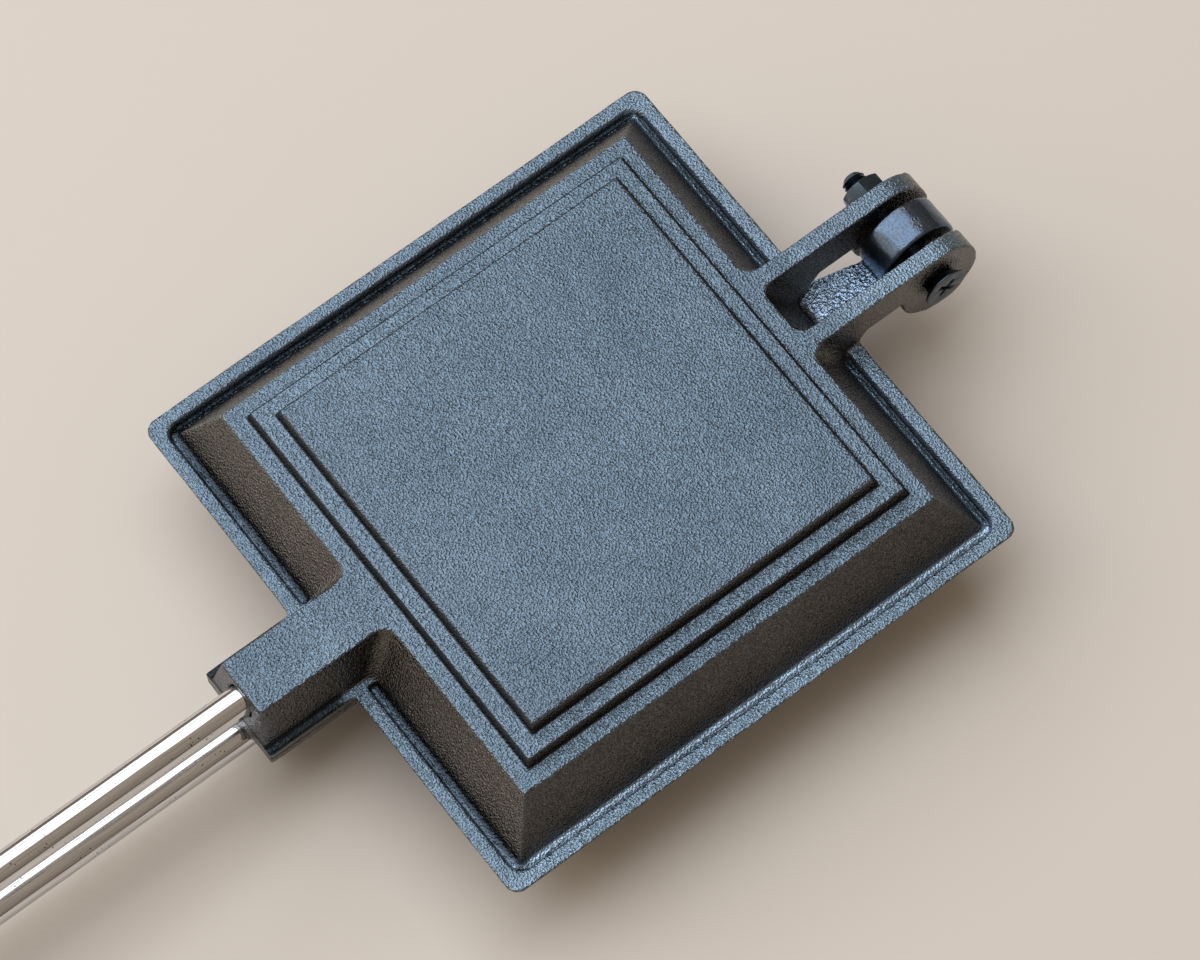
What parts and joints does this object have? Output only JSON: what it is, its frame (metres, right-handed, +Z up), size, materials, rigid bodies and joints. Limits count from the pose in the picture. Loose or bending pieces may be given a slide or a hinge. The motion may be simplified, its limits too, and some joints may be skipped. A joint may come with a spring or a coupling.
{
  "type": "pie iron",
  "caption": "Long-handled square cast iron sandwich press: two hinged stepped halves on steel rods with wooden grips and a wire latch.",
  "frame": {"origin": "centre of the flat outer panel of the lower half, on the surface that the iron rests on", "axes": "+X toward the hinge at the front, handles toward -X, +Y to the screw's nut side, +Z up through the upper half"},
  "size_m": [0.711, 0.12, 0.0387],
  "materials": {
    "iron": "black seasoned sand-cast iron, fine orange-peel grain, satin",
    "plated_rod": "bright nickel-plated steel with small specks",
    "black_steel": "black oxide steel, satin",
    "steel": "plated steel, satin",
    "beech": "turned hardwood, clear satin lacquer"
  },
  "bodies": {
    "lower": {"lower_plate": "iron", "lower_rod": "plated_rod", "lower_ferrule": "steel", "lower_grip": "beech", "lower_end_ferrule": "steel", "lower_end_nut": "steel"},
    "upper": {"upper_plate": "iron", "hinge_screw": "black_steel", "hinge_nut": "black_steel", "upper_rod": "plated_rod", "upper_ferrule": "steel", "upper_grip": "beech", "upper_end_ferrule": "steel", "upper_end_nut": "steel"},
    "latch": {"latch_bail": "steel"}
  },
  "joints": [
    {"name": "lid_hinge", "type": "hinge", "parent": "lower", "child": "upper", "pos_m": [0.0796, 0, 0.0227], "axis": [0, 1, 0], "range_deg": [0, 180]},
    {"name": "latch_swing", "type": "hinge", "parent": "upper", "child": "latch", "pos_m": [-0.6098, 0.0008, 0.02635], "axis": [0, -1, 0], "range_deg": [0, 242]}
  ]
}
